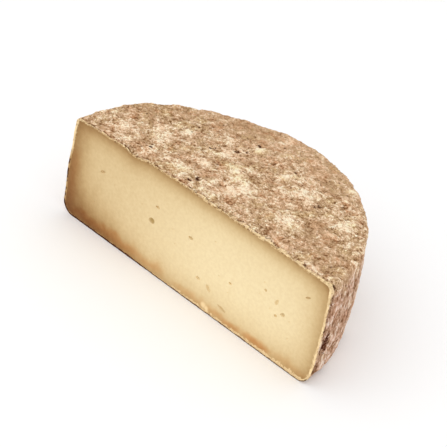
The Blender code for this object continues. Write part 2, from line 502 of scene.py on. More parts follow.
class Nodes:
    """A node tree, and the kinds of nodes that are often added to it."""

    def __init__(self, tree):
        self.tree = tree

    def add(self, kind, fill=None, **options):
        """Adds a node, sets its options and fills its sockets. Returns its outputs."""
        made = self.tree.nodes.new(kind)
        for name, value in options.items():
            setattr(made, name, value)
        for key, value in (fill or {}).items():
            if isinstance(value, bpy.types.NodeSocket):
                self.tree.links.new(value, made.inputs[key])
            else:
                made.inputs[key].default_value = value
        return made.outputs

    def math(self, operation, *values):
        """A Math node's result."""
        return self.add("ShaderNodeMath", dict(enumerate(values)), operation=operation)[0]

    def times(self, *values):
        """The product of numbers."""
        return reduce(partial(self.math, "MULTIPLY"), values)

    def plus(self, *values):
        """The sum of numbers."""
        return reduce(partial(self.math, "ADD"), values)

    def largest(self, *values):
        """The largest of numbers."""
        return reduce(partial(self.math, "MAXIMUM"), values)

    def minus(self, first, second):
        """The difference of two numbers."""
        return self.math("SUBTRACT", first, second)

    def share_of(self, first, second):
        """One number divided by another."""
        return self.math("DIVIDE", first, second)

    def size_of(self, value):
        """A number without its sign."""
        return self.math("ABSOLUTE", value)

    def times_plus(self, value, factor, more):
        """A number times a factor, plus another number."""
        return self.math("MULTIPLY_ADD", value, factor, more)

    def remap(self, value, low, high, to_low=0.0, to_high=1.0, smooth=True):
        """A value brought from one range to another, held at its ends."""
        fill = {
            "Value": value,
            "From Min": low,
            "From Max": high,
            "To Min": to_low,
            "To Max": to_high,
        }
        kind = "SMOOTHSTEP" if smooth else "LINEAR"
        return self.add("ShaderNodeMapRange", fill, interpolation_type=kind)["Result"]

    def between(self, share, first, second):
        """A number between two, by a share."""
        return self.add("ShaderNodeMix", {0: share, 2: first, 3: second})[0]

    def mix(self, share, first, second, blend="MIX"):
        """A colour between two, by a share."""
        fill = {0: share, 6: opaque(first), 7: opaque(second)}
        return self.add("ShaderNodeMix", fill, data_type="RGBA", blend_type=blend)[2]

    def tinted(self, share, base, tint):
        """A colour multiplied by another one, by a share."""
        return self.mix(share, base, tint, "MULTIPLY")

    def ramp(self, value, stops):
        """A colour from a ramp of places and colours."""
        node = self.tree.nodes.new("ShaderNodeValToRGB")
        self.tree.links.new(value, node.inputs[0])
        elements = node.color_ramp.elements
        while len(elements) < len(stops):
            elements.new(0.5)
        for element, (position, tint) in zip(elements, stops):
            element.position = position
            element.color = opaque(tint)
        return node.outputs[0]

    def vector(self, operation, first, second):
        """A Vector Math node's result. The second value is a number where the first is scaled."""
        key = "Scale" if operation == "SCALE" else 1
        fill = {0: first, key: second}
        return self.add("ShaderNodeVectorMath", fill, operation=operation)[0]

    def split(self, value):
        """A vector's three parts."""
        return self.add("ShaderNodeSeparateXYZ", {0: value})

    def joined(self, *parts):
        """A vector from its parts."""
        return self.add("ShaderNodeCombineXYZ", dict(enumerate(parts)))[0]

    def noise(self, place, length, **options):
        """A Noise Texture node's outputs, with features of a length in metres."""
        return self.add("ShaderNodeTexNoise", {"Vector": place, "Scale": 1 / length, **options})

    def cloud(self, place, length, detail=2.0, roughness=0.5, distortion=0.0):
        """Noise between 0 and 1, with features of a length in metres."""
        options = {"Detail": detail, "Roughness": roughness, "Distortion": distortion}
        return self.noise(place, length, **options)[0]

    def off_middle(self, colour_value):
        """A colour as a vector about zero."""
        return self.vector("SUBTRACT", colour_value, (0.5, 0.5, 0.5))

    def cells(self, place, size):
        """A Voronoi Texture node's outputs, with cells of a size in metres."""
        return self.add("ShaderNodeTexVoronoi", {"Vector": place, "Scale": 1 / size})

    def number(self, name):
        """A number stored on the mesh, in a shader's tree or in a shape's."""
        if self.tree.bl_idname == "ShaderNodeTree":
            return self.add("ShaderNodeAttribute", attribute_name=name)["Fac"]
        fill = {"Name": name}
        return self.add("GeometryNodeInputNamedAttribute", fill, data_type="FLOAT")["Attribute"]

    def place(self):
        """Each point's place in a shape's tree."""
        return self.add("GeometryNodeInputPosition")[0]

    def moved(self, geometry, key, value):
        """Geometry with its points moved by an Offset or put at a Position."""
        return self.add("GeometryNodeSetPosition", {"Geometry": geometry, key: value})[0]

    def stored(self, geometry, name, value):
        """Geometry with a number stored on its points."""
        fill = {"Geometry": geometry, "Name": name, "Value": value}
        return self.add("GeometryNodeStoreNamedAttribute", fill)[0]


SOCKET_KINDS = {
    bpy.types.Object: "NodeSocketObject",
    bpy.types.Material: "NodeSocketMaterial",
    float: "NodeSocketFloat",
    int: "NodeSocketInt",
}


def run_shape_tree(obj, name, build, values):
    """Runs a Geometry Nodes tree on an object, and keeps the plain mesh.

    The tree has a named input for each of the values. The function that builds it gets its nodes
    and its inputs, and returns geometry, which is then realized and given the material.
    """
    tree = bpy.data.node_groups.new(name, "GeometryNodeTree")
    tree.interface.new_socket("Geometry", in_out="INPUT", socket_type="NodeSocketGeometry")
    for label, value in values.items():
        kind = next(SOCKET_KINDS[cls] for cls in SOCKET_KINDS if isinstance(value, cls))
        tree.interface.new_socket(label, in_out="INPUT", socket_type=kind)
    tree.interface.new_socket("Geometry", in_out="OUTPUT", socket_type="NodeSocketGeometry")
    given = tree.nodes.new("NodeGroupInput").outputs
    n = Nodes(tree)
    real = n.add("GeometryNodeRealizeInstances", {0: build(n, given)})[0]
    fill = {"Geometry": real, "Material": given["Material"]}
    n.add("NodeGroupOutput", {0: n.add("GeometryNodeSetMaterial", fill)[0]})
    modifier = obj.modifiers.new(name, "NODES")
    modifier.node_group = tree
    for item in tree.interface.items_tree:
        if item.name in values:
            modifier[item.identifier] = values[item.name]
    keep_plain_mesh(obj)


def keep_plain_mesh(obj):
    """Replaces an object's mesh by what its modifiers make of it, and removes the modifiers."""
    bpy.context.view_layer.update()
    graph = bpy.context.evaluated_depsgraph_get()
    made = bpy.data.meshes.new_from_object(obj.evaluated_get(graph))
    old = obj.data
    obj.modifiers.clear()
    obj.data = made
    made.name = obj.name
    bpy.data.meshes.remove(old)


def new_object(name, data=None):
    """An object in the scene, with these data or a mesh of its own."""
    obj = bpy.data.objects.new(name, data or bpy.data.meshes.new(name))
    bpy.context.scene.collection.objects.link(obj)
    return obj


def object_from(name, body, material):
    """An object made of a bmesh, which is freed."""
    obj = new_object(name)
    body.to_mesh(obj.data)
    body.free()
    obj.data.materials.append(material)
    return obj


def discard(*objects):
    """Removes helper objects."""
    for obj in objects:
        bpy.data.objects.remove(obj)


def smooth_step(share):
    """A smooth rise from 0 to 1."""
    share = min(1.0, max(0.0, share))
    return share * share * (3 - 2 * share)


def side_radius(z):
    """The wheel's radius at a height: widest at the belly, leaning in above and below it."""
    return WHEEL_RADIUS - SIDE_LEAN * ((z - BELLY_HEIGHT) / (WHEEL_HEIGHT / 2)) ** 2


def quarter_turn(radius):
    """The cosines and sines of the steps along a rounded edge of the profile, without its start."""
    steps = max(LEAST_EDGE_STEPS, round(radius * math.pi / 2 / PROFILE_STEP))
    turns = (math.pi / 2 * i / steps for i in range(1, steps + 1))
    return [(radius * math.cos(turn), radius * math.sin(turn)) for turn in turns]


def profile(top_in=0.0, side_in=0.0, base_in=0.0):
    """The turned profile, as its stretches over the top and down the side to the flat base."""
    top_z = WHEEL_HEIGHT - top_in
    top_edge = TOP_EDGE_RADIUS - (top_in + side_in) / 2
    base_edge = BASE_EDGE_RADIUS - (base_in + side_in) / 2
    rim_z = top_z - TOP_CROWN - top_edge
    rim_x = side_radius(rim_z) - side_in - top_edge
    foot_z = base_in + base_edge
    foot_x = side_radius(foot_z) - side_in - base_edge
    steps = round(rim_x / PROFILE_STEP)
    shares = (i / steps for i in range(steps + 1))
    top = [(rim_x * share, top_z - TOP_CROWN * share**2) for share in shares]
    side = [(rim_x + sine, rim_z + cosine) for cosine, sine in quarter_turn(top_edge)]
    steps = round((rim_z - foot_z) / PROFILE_STEP)
    heights = (rim_z + (foot_z - rim_z) * i / steps for i in range(1, steps + 1))
    side += [(side_radius(z) - side_in, z) for z in heights]
    side += [(foot_x + cosine, foot_z - sine) for cosine, sine in quarter_turn(base_edge)]
    return top, side


def length_of(points):
    """The length of a line through points."""
    return sum(math.dist(a, b) for a, b in zip(points, points[1:]))


def out_of_round(angle):
    """The share by which the wheel's radius grows or shrinks in a direction."""
    waves = (size * math.cos(count * (angle - crest)) for count, size, crest in OUTLINE_WAVES)
    return 1 + sum(waves) / WHEEL_RADIUS


def rind_rise(point):
    """How far the rind stands out of the turned shape at a point."""
    swell = noise.noise(point / SWELL_LENGTH)
    lump = noise.noise(point / LUMP_LENGTH + LUMP_SHIFT)
    return SWELL_RISE * swell + LUMP_RISE * lump


def dent_drop(point):
    """How far the thumb mark lowers the top at a point."""
    distance = math.hypot(point.x - DENT_PLACE.x, point.y - DENT_PLACE.y)
    near_top = smooth_step(point.z / WHEEL_HEIGHT * 2 - 1)
    return DENT_DEPTH * (1 - smooth_step(distance / DENT_REACH)) * near_top


def uneven(point, normal):
    """Where a point of the turned shape lies on the uneven wheel."""
    point = point.copy()
    point.xy = point.xy * out_of_round(math.atan2(point.y, point.x))
    rise = rind_rise(point) * smooth_step(point.z / BASE_EDGE_RADIUS)
    point += normal * rise
    point.z -= dent_drop(point)
    return point


def make_uneven(mesh):
    """Gives a turned mesh the unevenness of the part's solid."""
    normals = [vertex.normal.copy() for vertex in mesh.vertices]
    for vertex, normal in zip(mesh.vertices, normals):
        vertex.co = uneven(vertex.co, normal)


def wheel_axis():
    """Where the wheel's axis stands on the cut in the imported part's frame."""
    angles = (math.pi * i / AXIS_TURNS for i in range(AXIS_TURNS + 1))
    heights = [WHEEL_HEIGHT * share for share in AXIS_HEIGHTS]
    reach = [
        uneven(Vector((side_radius(z) * along.x, side_radius(z) * along.y, z)), along).x
        for along in (Vector((math.cos(a), math.sin(a), 0.0)) for a in angles)
        for z in heights
    ]
    low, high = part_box(NODE)
    middle = (low.x + high.x) / 2
    return Vector((middle - (min(reach) + max(reach)) / 2, low.y, 0.0))


def turned_skin(n, given):
    """Nodes for a skin turned a little past half a circle, open at the cut and the base."""
    line = n.add("GeometryNodeObjectInfo", {"Object": given["Profile"]})["Geometry"]
    spot = n.split(n.place())
    cells = given["Cells"]
    spare = given["Spare Rows"]
    eighth = math.pi / 4

    def turned(grid, along_profile, turn, sign):
        """A grid laid on the profile, turned about Z."""
        fill = {"Curves": line, "Factor": along_profile}
        sample = n.add("GeometryNodeSampleCurve", fill, mode="FACTOR", use_all_curves=True)
        on_line = n.split(sample["Position"])
        radius = n.times(on_line[0], sign)
        x = n.times(radius, n.math("COSINE", turn))
        y = n.times(radius, n.math("SINE", turn))
        return n.moved(grid, "Position", n.joined(x, y, on_line[2]))

    def top():
        """The top, from the axis out: a square grid drawn out into a little over half a disc."""
        rows = n.plus(cells, spare)
        fill = {
            "Size X": 2.0,
            "Size Y": n.share_of(rows, cells),
            "Vertices X": n.times_plus(cells, 2.0, 1.0),
            "Vertices Y": n.plus(rows, 1.0),
        }
        grid = n.add("GeometryNodeMeshGrid", fill)["Mesh"]
        across = spot[0]
        along = n.plus(spot[1], n.times_plus(n.share_of(spare, cells), -0.5, 0.5))
        is_wide = n.math("GREATER_THAN", n.size_of(across), n.size_of(along))
        wide_turn = n.times(n.share_of(along, across), eighth)
        deep_turn = n.times_plus(n.share_of(across, along), -eighth, 2 * eighth)
        reach = n.between(is_wide, along, across)
        turn = n.between(is_wide, deep_turn, wide_turn)
        factor = n.times(n.size_of(reach), given["Top Share"])
        return turned(grid, factor, turn, n.math("SIGN", reach))

    def side():
        """The side, from the top's rim down to the base."""
        columns = n.times_plus(cells, 4.0, n.times(spare, 2.0))
        fill = {
            "Size X": n.times(columns, n.share_of(eighth, cells)),
            "Size Y": 1.0,
            "Vertices X": n.plus(columns, 1.0),
            "Vertices Y": n.plus(given["Side Rows"], 1.0),
        }
        grid = n.add("GeometryNodeMeshGrid", fill)["Mesh"]
        factor = n.between(n.plus(spot[1], 0.5), given["Top Share"], 1.0)
        return turned(grid, factor, n.plus(spot[0], 2 * eighth), 1.0)

    join = n.tree.nodes.new("GeometryNodeJoinGeometry")
    for geometry in (top(), side()):
        n.tree.links.new(geometry, join.inputs[0])
    fill = {"Geometry": join.outputs[0], "Distance": given["Join Distance"]}
    return n.add("GeometryNodeMergeByDistance", fill)[0]


def turned_body(name, stretches, cells, side_rows, material):
    """A closed body, turned from a profile and uneven, that reaches a little in front of the cut."""
    top, side = stretches
    points = top + side
    curve = bpy.data.curves.new(name + "_profile", "CURVE")
    curve.dimensions = "3D"
    line = curve.splines.new("POLY")
    line.points.add(len(points) - 1)
    for spot, (x, z) in zip(line.points, points):
        spot.co = (x, 0.0, z, 1.0)
    guide = new_object(curve.name, curve)
    values = {
        "Profile": guide,
        "Cells": cells,
        "Side Rows": side_rows,
        "Spare Rows": SPARE_ROWS,
        "Top Share": length_of(top) / length_of(points),
        "Join Distance": SAME_POINT,
        "Material": material,
    }
    obj = new_object(name)
    run_shape_tree(obj, "turned_skin", turned_skin, values)
    discard(guide)
    close_body(obj.data)
    make_uneven(obj.data)
    return obj


def close_body(mesh):
    """Closes the base and the front of a turned skin with flat faces, and turns all outwards."""
    body = bmesh.new()
    body.from_mesh(mesh)
    rim = [edge for edge in body.edges if edge.is_boundary]
    floor = min(vertex.co.z for edge in rim for vertex in edge.verts) + SAME_POINT
    base = [edge for edge in rim if all(v.co.z < floor for v in edge.verts)]
    front = [edge for edge in rim if edge not in set(base)]
    at_base, at_front = ({v for edge in edges for v in edge.verts} for edges in (base, front))
    seam = body.edges.new(tuple(at_base & at_front))
    made = bmesh.ops.edgeloop_fill(body, edges=base + [seam])["faces"]
    made += bmesh.ops.edgeloop_fill(body, edges=front + [seam])["faces"]
    bmesh.ops.triangulate(body, faces=made)
    bmesh.ops.recalc_face_normals(body, faces=body.faces)
    body.to_mesh(mesh)
    body.free()


def points_of(mesh):
    """A mesh's points as an array."""
    points = np.empty(len(mesh.vertices) * 3, np.float32)
    mesh.vertices.foreach_get("co", points)
    return points.reshape(-1, 3).astype(float)


def store_number(mesh, name, values):
    """Stores a number for each point of a mesh."""
    old = mesh.attributes.get(name)
    if old:
        mesh.attributes.remove(old)
    made = mesh.attributes.new(name, "FLOAT", "POINT")
    made.data.foreach_set("value", np.asarray(values, np.float32))


def ramp_up(values, start, end):
    """How much of the way from a start to an end values have gone, from 0 to 1."""
    return np.clip((values - start) / (end - start), 0, 1)


def mark_rind(mesh):
    """Stores where the mould is pale or worn, where the pits are, and what belongs to the side."""
    points = points_of(mesh)
    x, y, z = points.T
    bloom = np.zeros(len(points))
    for places, sign in ((PALE_PLACES, 1.0), (BROWN_PLACES, -1.0)):
        for along, behind, reach in places:
            far = (x - along) ** 2 + (y - behind) ** 2
            bloom += sign * np.exp(-far / reach**2)
    store_number(mesh, "bloom", np.clip(bloom, -1, 1) * ramp_up(z, BLOOM_NONE, BLOOM_FULL))
    pit = np.zeros(len(points))
    for *centre, reach in DARK_PITS:
        far = ((points - centre) ** 2 * PIT_SQUASH).sum(1)
        pit = np.maximum(pit, np.exp(-far / reach**2))
    store_number(mesh, "pit", pit)
    store_number(mesh, "side", ramp_up(z, SIDE_NONE, SIDE_FULL))


def crust_height(n, place, detail):
    """The crust's lumps, about 0.5, drawn out upwards on the side. Shape and colours both read it."""
    drawn = n.vector("MULTIPLY", place, (1.0, 1.0, CRUST_STRETCH))
    flat = n.cloud(place, CRUST_LENGTH, detail, CRUST_ROUGHNESS, CRUST_TWIST)
    upright = n.cloud(drawn, CRUST_LENGTH, detail, CRUST_ROUGHNESS, CRUST_TWIST)
    return n.between(n.number("side"), flat, upright)


def edge_shares(n, place):
    """How much a place belongs to the lip at the cut, and to the broken groove behind it."""
    spot = n.split(place)
    wander = n.cloud(place, LIP_WANDER_LENGTH, 3.0, 0.8)
    reach = n.remap(spot[0], *ALONG_CUT, LIP_LEFT, LIP_RIGHT)
    reach = n.times(reach, n.remap(wander, 0.38, 0.62, 0.2, 1.8, smooth=False))
    fray = n.times_plus(n.cloud(place, LIP_FRAY_LENGTH), LIP_FRAY, -LIP_FRAY / 2)
    past = n.minus(n.plus(spot[1], fray), reach)
    least = n.remap(spot[0], *RIGHT_STRETCH, 0.3, 0.8)
    whole = n.remap(n.cloud(place, LIP_GAP_LENGTH, 2.0, 0.7), 0.36, 0.52, least, 1.0)
    lip = n.times(n.remap(past, SOFT_EDGE, -SOFT_EDGE), whole)
    away = n.size_of(n.minus(past, GROOVE_PLACE))
    groove = n.remap(away, GROOVE_WIDTH / 2, GROOVE_WIDTH / 8)
    broken = n.remap(n.cloud(place, GROOVE_GAP_LENGTH, 1.0), 0.38, 0.50)
    return lip, n.times(groove, broken)


def crusted(n, given):
    """Nodes that sink a smooth skin into lumps, pits and the groove."""
    place = n.place()
    spot = n.split(place)
    lip, groove = edge_shares(n, place)
    level = n.times_plus(n.number("bloom"), 0.06, crust_height(n, place, 2.0))
    sunk = n.remap(level, 0.68, 0.32, CRUST_INSET, given["Crust Depth"], smooth=False)
    sunk = n.times(sunk, n.times_plus(lip, -0.8, 1.0))
    full = n.times(n.number("side"), n.remap(spot[1], *FULL_SIDE))
    sunk = n.times(sunk, n.times_plus(full, -0.7, 1.0))
    pit = n.times(n.number("pit"), given["Pit Depth"])
    sunk = n.plus(sunk, pit, n.times(groove, given["Groove Depth"]))
    sunk = n.times(sunk, n.remap(spot[2], 0.0, BASE_EDGE_RADIUS / 2))
    normal = n.add("GeometryNodeInputNormal")[0]
    offset = n.vector("SCALE", normal, n.times(sunk, -1.0))
    return n.moved(given["Geometry"], "Offset", offset)


def cut_block(material):
    """The block in front of the cut, whose fine back face cuts the rind and the paste."""
    cell = bpy.context.scene.tomme_shape.cut_cell
    height = BLOCK_TOP - BLOCK_BOTTOM
    near = nearest_to(whole_outline())
    body = bmesh.new()
    cells = {"x_segments": round(BLOCK_WIDTH / cell), "y_segments": round(height / cell)}
    bmesh.ops.create_grid(body, size=0.5, **cells)
    for vertex in body.verts:
        x = vertex.co.x * BLOCK_WIDTH
        z = BLOCK_BOTTOM + (vertex.co.y + 0.5) * height
        rim = 1 - smooth_step(near.find(Vector((x, 0.0, z)))[2] / RIM_REACH)
        vertex.co = (x, cut_depth(x, z, rim), z)
    faces = list(body.faces)
    made = bmesh.ops.extrude_face_region(body, geom=faces, use_keep_orig=True)
    for element in made["geom"]:
        if isinstance(element, bmesh.types.BMVert):
            element.co.y = -BLOCK_DEPTH
    bmesh.ops.recalc_face_normals(body, faces=body.faces)
    return object_from("cut_block", body, material)


def cut_noise(x, z, width, height, layer):
    """Noise over the cut, with features of a width and a height. Each layer is another noise."""
    return noise.noise(Vector((x / width, layer, z / height)))


def cut_depth(x, z, rim):
    """How far behind the solid's cut face the cut lies: the knife's drag, the grain, the ragged rim."""
    drag = cut_noise(x, z, *DRAG_WAVE, 0.0)
    grain = cut_noise(x, z, *CUT_GRAIN, 5.0)
    paste = PASTE_INSET + DRAG_DEPTH * (1 + drag) + CUT_GRAIN_DEPTH * (1 + grain)
    paste *= 1 - fold_share(x, z)
    ragged = RIM_ROUGHNESS * (0.5 + 0.5 * noise.noise(Vector((x, 9.0, z)) / RIM_LUMP))
    return CUT_INSET + paste * (1 - rim) + ragged * rim


def fold_share(x, z):
    """How much a place of the cut belongs to the fold in its lower edge."""
    return max(
        math.exp(-(((x - along) ** 2 + (z - height) ** 2) / reach**2) ** 2)
        for along, height, reach in FOLD
    )


def nearest_to(points):
    """A tree that finds the nearest of some points."""
    tree = kdtree.KDTree(len(points))
    for index, point in enumerate(points):
        tree.insert(point, index)
    tree.balance()
    return tree


def trim(obj, *cutters):
    """Cuts closed bodies out of an object. Faces made by a cutter get the cutter's material."""
    for cutter in cutters:
        cut = obj.modifiers.new(cutter.name, "BOOLEAN")
        cut.operation = "DIFFERENCE"
        cut.object = cutter
        cut.solver = "MANIFOLD"
        cut.material_mode = "TRANSFER"
    keep_plain_mesh(obj)


def eye_cutters(material):
    """Uneven flattened balls that cut the eyes and the pinholes, as one object."""
    balls = [(x, z, width, EYE_DEPTH, height, tilt) for x, z, width, height, tilt, _ in EYES]
    balls += [(x, z, PINHOLE_SIZE, PINHOLE_DEPTH, PINHOLE_SIZE, 0) for x, z in PINHOLES]
    body = bmesh.new()
    for number, (x, z, width, depth, height, tilt) in enumerate(balls):
        ball = bmesh.ops.create_icosphere(body, subdivisions=EYE_SUBDIVISIONS, radius=1.0)
        turn = Matrix.Rotation(math.radians(tilt), 4, "Y")
        size = Matrix.Diagonal((width, depth, height, 1.0))
        place = Matrix.Translation((x, CUT_INSET + PASTE_INSET, z))
        for vertex in ball["verts"]:
            bulge = noise.noise(vertex.co * EYE_LUMPS + Vector((number * 3.7, 0.0, 0.0)))
            vertex.co = place @ turn @ size @ (vertex.co * (1 + EYE_UNEVENNESS * bulge))
    return object_from("eye_cutters", body, material)


def cut_outline():
    """The uneven wheel's outline on the cut: its top from left to right, and its two sides."""
    top, side = profile()

    def on_wheel(points, sign):
        """Points of the profile, to the right or to the left, on the uneven wheel."""
        return [uneven(Vector((sign * x, 0.0, z)), Vector()) for x, z in points]

    over = on_wheel(top[1:], 1) + on_wheel(top, -1)
    return sorted(over, key=lambda point: point.x), on_wheel(side, -1), on_wheel(side, 1)


def whole_outline():
    """Every point of the outline on the cut, with the base."""
    top, left, right = cut_outline()
    steps = round((right[-1].x - left[-1].x) / PROFILE_STEP)
    base = [left[-1].lerp(right[-1], i / steps) for i in range(steps + 1)]
    return top + left + right + base


def band(measure, distance, power=1.0):
    """How ripe the paste is at distances from the rind, by a strength and a reach."""
    strength, reach = measure
    return strength * np.exp(-((distance / reach) ** power))


def ripeness(x, z, under, from_left, from_right, wave):
    """How ripe the paste is: most beside the rind, above all at the lower left."""
    leftness = ramp_up(x, *FOOT_LEFT)
    at_foot = FOOT_BAND[0] + FOOT_BAND_LEFT[0] * leftness**1.4
    at_foot += FOOT_BAND_RIGHT * ramp_up(x, *FOOT_RIGHT)
    foot_reach = FOOT_BAND[1] + FOOT_BAND_LEFT[1] * leftness**2
    bands = (
        band(TOP_BAND, under),
        band(RIGHT_BAND, from_right),
        band(LEFT_BAND, from_left, 1.5),
        band((at_foot, foot_reach), z * (1 - 0.18 * wave)),
    )
    ripe = sum(share**CORNER_POWER for share in bands) ** (1 / CORNER_POWER)
    # The whole cut grows darker and browner towards the left
    far = ramp_up(x, *BROAD_LEFT)
    broad = BROAD_DARKENING + BROAD_DARKENING_LEFT * far * far * (3 - 2 * far)
    ripe += np.maximum(broad - LOW_PALENESS * ramp_up(z, *LOW_ON_CUT), 0)
    return ripe / (1 + (ripe / RIPEST) ** 4) ** 0.25


def orange_share(x, z, from_left, wave, ragged):
    """How orange the paste is, in places above the base and in a line beside the left rind."""
    orange = np.zeros(len(x))
    for along, reach, height, strength in ORANGE_PLACES:
        across = np.exp(-((x - along) / reach) ** 4)
        rise = z / height * (1 - 0.30 * wave - 0.22 * ragged) - 1
        orange = np.maximum(orange, strength * across * np.exp(-((rise / 0.62) ** 2)))
    strength, middle, reach = LEFT_ORANGE
    beside_left = strength * np.exp(-(((from_left - middle) / reach) ** 2))
    return np.maximum(orange, beside_left * ramp_up(z, *LEFT_ORANGE_TOP))


def mark_paste(mesh):
    """Stores how ripe and orange the paste is, the painted shade in the eyes, and what lies in the fold
    or at the rim.
    """
    points = points_of(mesh)
    x, y, z = points.T
    top, left, right = cut_outline()
    under = np.interp(x, [p.x for p in top], [p.z for p in top]) - z
    from_left = x - np.interp(z, [p.z for p in left[::-1]], [p.x for p in left[::-1]])
    from_right = np.interp(z, [p.z for p in right[::-1]], [p.x for p in right[::-1]]) - x
    under, from_left, from_right, z = (
        np.maximum(distance, 0.0) for distance in (under, from_left, from_right, z)
    )
    wave = np.array([cut_noise(p[0], p[2], *BAND_WAVE, 3.0) for p in points])
    ragged = np.array([cut_noise(p[0], p[2], *ORANGE_WAVE, 7.0) for p in points])
    store_number(mesh, "ripe", ripeness(x, z, under, from_left, from_right, wave))
    store_number(mesh, "orange", orange_share(x, z, from_left, wave, ragged))
    # Painted shade in the eyes: the deeper a point lies in an eye's hollow, the darker it is painted
    eye_shade = np.full(len(points), PALE_EYE)
    for along, height, *_, share in EYES:
        far = (x - along) ** 2 + (z - height) ** 2
        eye_shade = np.maximum(eye_shade, share * np.exp(-far / DARK_EYE_REACH**2))
    in_eye = ramp_up(y - CUT_INSET - PASTE_INSET, *EYE_WALL)
    store_number(mesh, "eye", in_eye * eye_shade * (y < EYES_END))
    store_number(mesh, "fold", [fold_share(p[0], p[2]) for p in points])
    at_base = z * np.interp(x, (0.045, 0.080), (0.80, 0.55)) + np.clip(-x * 0.1, 0, 1)
    at_right = from_right + np.interp(z, (0.022, 0.045), (0.0003, 0.0010))
    at_left = from_left * 0.75 + np.clip((LEFT_ORANGE_TOP[0] - z) * 0.1, 0, 1)
    store_number(mesh, "rim", np.minimum(np.minimum(at_right, at_base), at_left))


def mark_cut_rind(mesh, crust):
    """Stores on the rind how far a point is from the crust's outline on the cut."""
    outline = [Vector((p[0], 0.0, p[2])) for p in crust if abs(p[1]) < CRUST_SLICE]
    near = nearest_to(outline)
    points = points_of(mesh)
    far = np.full(len(points), 1.0)
    for index, (x, y, z) in enumerate(points):
        if y < HIDDEN_RIND_START:
            far[index] = min(near.find(Vector((x, 0.0, z)))[2], max(z, 0.0))
    store_number(mesh, "edge", far)


def mark_cut_faces(mesh, marks):
    """Stores on each face of the rind whether it is skin, 0, or was made by a cutter, 1."""
    cut_of_slot = np.array([material in marks for material in mesh.materials], np.float32)
    slots = np.empty(len(mesh.polygons), np.int32)
    mesh.polygons.foreach_get("material_index", slots)
    made = mesh.attributes.new("cut", "FLOAT", "FACE")
    made.data.foreach_set("value", cut_of_slot[slots])


def finish_piece(obj, material):
    """Gives a piece its one material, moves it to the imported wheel's axis, and frames it."""
    mesh = obj.data
    mesh.materials.clear()
    mesh.materials.append(material)
    mesh.polygons.foreach_set("material_index", np.zeros(len(mesh.polygons), np.int32))
    mesh.transform(Matrix.Translation(wheel_axis()))
    mesh.shade_smooth()
    mesh.set_sharp_from_angle(angle=SHARP_ANGLE)
    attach(obj, BODY)
    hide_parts(NODE)


def new_material(name, roughness):
    """A material and its shader."""
    material = bpy.data.materials.new(name)
    material.use_nodes = True
    shader = material.node_tree.nodes["Principled BSDF"]
    shader.inputs["Roughness"].default_value = roughness
    return material, shader


def cheese_material(name, roughness, shine):
    """A material, its nodes, its shader and a point's place in the wheel's own frame."""
    material, shader = new_material(name, roughness)
    shader.inputs["Specular IOR Level"].default_value = shine
    n = Nodes(material.node_tree)
    place = n.add("ShaderNodeTexCoord")["Object"]
    return material, n, shader, n.vector("SUBTRACT", place, wheel_axis())


def paint(n, shader, shade, height=None, distance=0.0, strength=0.0):
    """Links a colour, and where it is given a bump, to a shader."""
    n.tree.links.new(shade, shader.inputs["Base Color"])
    if height is not None:
        fill = {"Height": height, "Distance": distance, "Strength": strength}
        n.tree.links.new(n.add("ShaderNodeBump", fill)[0], shader.inputs["Normal"])


def granules(n, place, size):
    """Sharp-edged granules of a size, each with a level of its own from -0.5 to 0.5."""
    wander = n.off_middle(n.noise(place, size, Detail=1.0)["Color"])
    moved = n.vector("ADD", place, n.vector("SCALE", wander, size * GRANULE_WANDER))
    return n.minus(n.split(n.cells(moved, size)["Color"])[0], 0.5)


def pit_distance(n, place):
    """How far the nearest dark pit is, as a share of its reach."""
    nearest = FAR_FROM_PITS
    for *centre, reach in DARK_PITS:
        away = n.vector("SUBTRACT", place, centre)
        away = n.vector("MULTIPLY", away, (1.0, 1.0, 0.5))
        far = n.add("ShaderNodeVectorMath", {0: away}, operation="LENGTH")["Value"]
        nearest = n.math("MINIMUM", n.share_of(far, reach), nearest)
    return nearest


def crust_tones(n, place, skin):
    """The crust's drifts of pink, of yellow and of red-brown."""
    tone = n.cloud(place, 0.014, 4.0, 0.9)
    other = n.cloud(place, 0.0095, 3.0, 0.8, 0.5)
    skin = n.tinted(n.remap(tone, 0.47, 0.62), skin, (1.0, 0.92, 0.88))
    skin = n.tinted(n.remap(tone, 0.50, 0.36), skin, (0.98, 0.975, 0.86))
    return n.tinted(n.remap(other, 0.55, 0.66), skin, (0.92, 0.80, 0.72))


def rind_level(n, place, height, groove):
    """Where a place of the crust lies on the ramp from its brown low places to its pale mould."""
    bloom = n.number("bloom")
    side = n.number("side")
    calm = n.remap(n.split(place)[1], *FAR_BACK)
    gain = n.plus(side, n.times_plus(calm, -0.9, 2.35))
    level = n.plus(n.times(n.minus(height, 0.5), gain), 0.485)
    patch = n.minus(n.cloud(place, SIDE_PATCH, 2.0, 0.6), 0.5)
    level = n.times_plus(n.times(patch, side), 1.1, level)
    worn = n.math("MINIMUM", bloom, 0.0)
    smoothed = n.largest(n.times(worn, -1.0), n.times(calm, 0.6))
    coarse = n.times(n.times_plus(smoothed, -0.60, 1.12), n.between(side, 1.0, 0.55))
    for size, weight in CRUST_GRAINS:
        level = n.times_plus(n.times(granules(n, place, size), coarse), weight, level)
    pale = n.largest(bloom, 0.0)
    level = n.times_plus(n.times(pale, pale), 0.40, level)
    level = n.times_plus(worn, 0.10, level)
    # Painted shade: the groove behind the lip is painted darker
    return n.times_plus(groove, -0.80, level)


def speck_share(n, place):
    """How much a place belongs to one of the crust's few small dark specks."""
    specks = n.cells(place, SPECK_SPACING)
    few = n.remap(n.split(specks["Color"])[0], 0.24, 0.10)
    return n.times(few, n.remap(specks["Distance"], 0.20, 0.10), 0.75)


